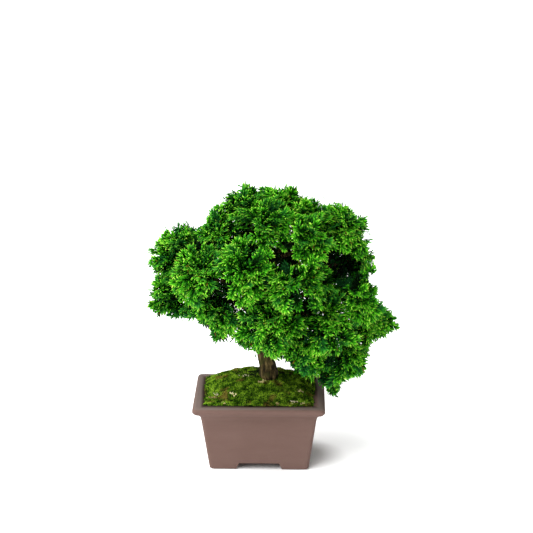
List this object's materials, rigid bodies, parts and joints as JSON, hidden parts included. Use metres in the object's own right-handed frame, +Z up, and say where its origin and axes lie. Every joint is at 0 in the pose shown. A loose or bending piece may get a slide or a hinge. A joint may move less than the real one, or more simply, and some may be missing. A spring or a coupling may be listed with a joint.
{
  "type": "potted bonsai tree",
  "caption": "Hinoki cypress bonsai with fan-like leaf sprays on a leaning trunk, in a mossy rectangular unglazed clay pot on corner feet.",
  "frame": {"origin": "centre of the whole plant's box, on the surface that the pot's feet stand on", "axes": "+Z up along the trunk, +X to the pot's right along its long side, +Y to the pot's back"},
  "size_m": [0.3806, 0.3194, 0.4432],
  "materials": {
    "clay": "matt unglazed",
    "soil": "coarse potting soil",
    "moss": "soft and fibrous",
    "drain_mesh": "matt",
    "bark": "flaky bark",
    "leaf": "satin scale leaves"
  },
  "bodies": {
    "root": {"drain_mesh_left": "drain_mesh", "drain_mesh_right": "drain_mesh", "moss": "moss", "pot": "clay", "soil": "soil", "spray_back_left_1": "leaf", "spray_back_left_2": "leaf", "spray_back_low_1": "leaf", "spray_back_low_2": "leaf", "spray_back_right_1": "leaf", "spray_back_right_2": "leaf", "spray_back_top_1": "leaf", "spray_back_top_2": "leaf", "spray_centre_front_1": "leaf", "spray_centre_front_2": "leaf", "spray_centre_low_1": "leaf", "spray_centre_low_2": "leaf", "spray_centre_low_3": "leaf", "spray_crown_front_1": "leaf", "spray_crown_front_2": "leaf", "spray_crown_left_1": "leaf", "spray_crown_left_2": "leaf", "spray_crown_outer_1": "leaf", "spray_crown_outer_2": "leaf", "spray_crown_right_1": "leaf", "spray_crown_right_2": "leaf", "spray_far_right_1": "leaf", "spray_far_right_2": "leaf", "spray_front_high_1": "leaf", "spray_front_high_2": "leaf", "spray_left_front_1": "leaf", "spray_left_front_2": "leaf", "spray_left_front_3": "leaf", "spray_left_low_1": "leaf", "spray_left_low_2": "leaf", "spray_left_shoulder_1": "leaf", "spray_left_shoulder_2": "leaf", "spray_left_shoulder_3": "leaf", "spray_left_under_1": "leaf", "spray_left_under_2": "leaf", "spray_lowest_right": "leaf", "spray_right_front_1": "leaf", "spray_right_front_2": "leaf", "spray_right_low_1": "leaf", "spray_right_low_2": "leaf", "spray_right_low_3": "leaf", "spray_right_mid_1": "leaf", "spray_right_mid_2": "leaf", "spray_right_outer_1": "leaf", "spray_right_outer_2": "leaf", "spray_right_shoulder_1": "leaf", "spray_right_shoulder_2": "leaf", "spray_right_shoulder_3": "leaf", "spray_under_right_1": "leaf", "spray_under_right_2": "leaf", "spray_upper_front_1": "leaf", "spray_upper_front_2": "leaf", "spray_upper_left_1": "leaf", "spray_upper_left_2": "leaf", "trunk_and_limbs": "bark"}
  },
  "joints": []
}
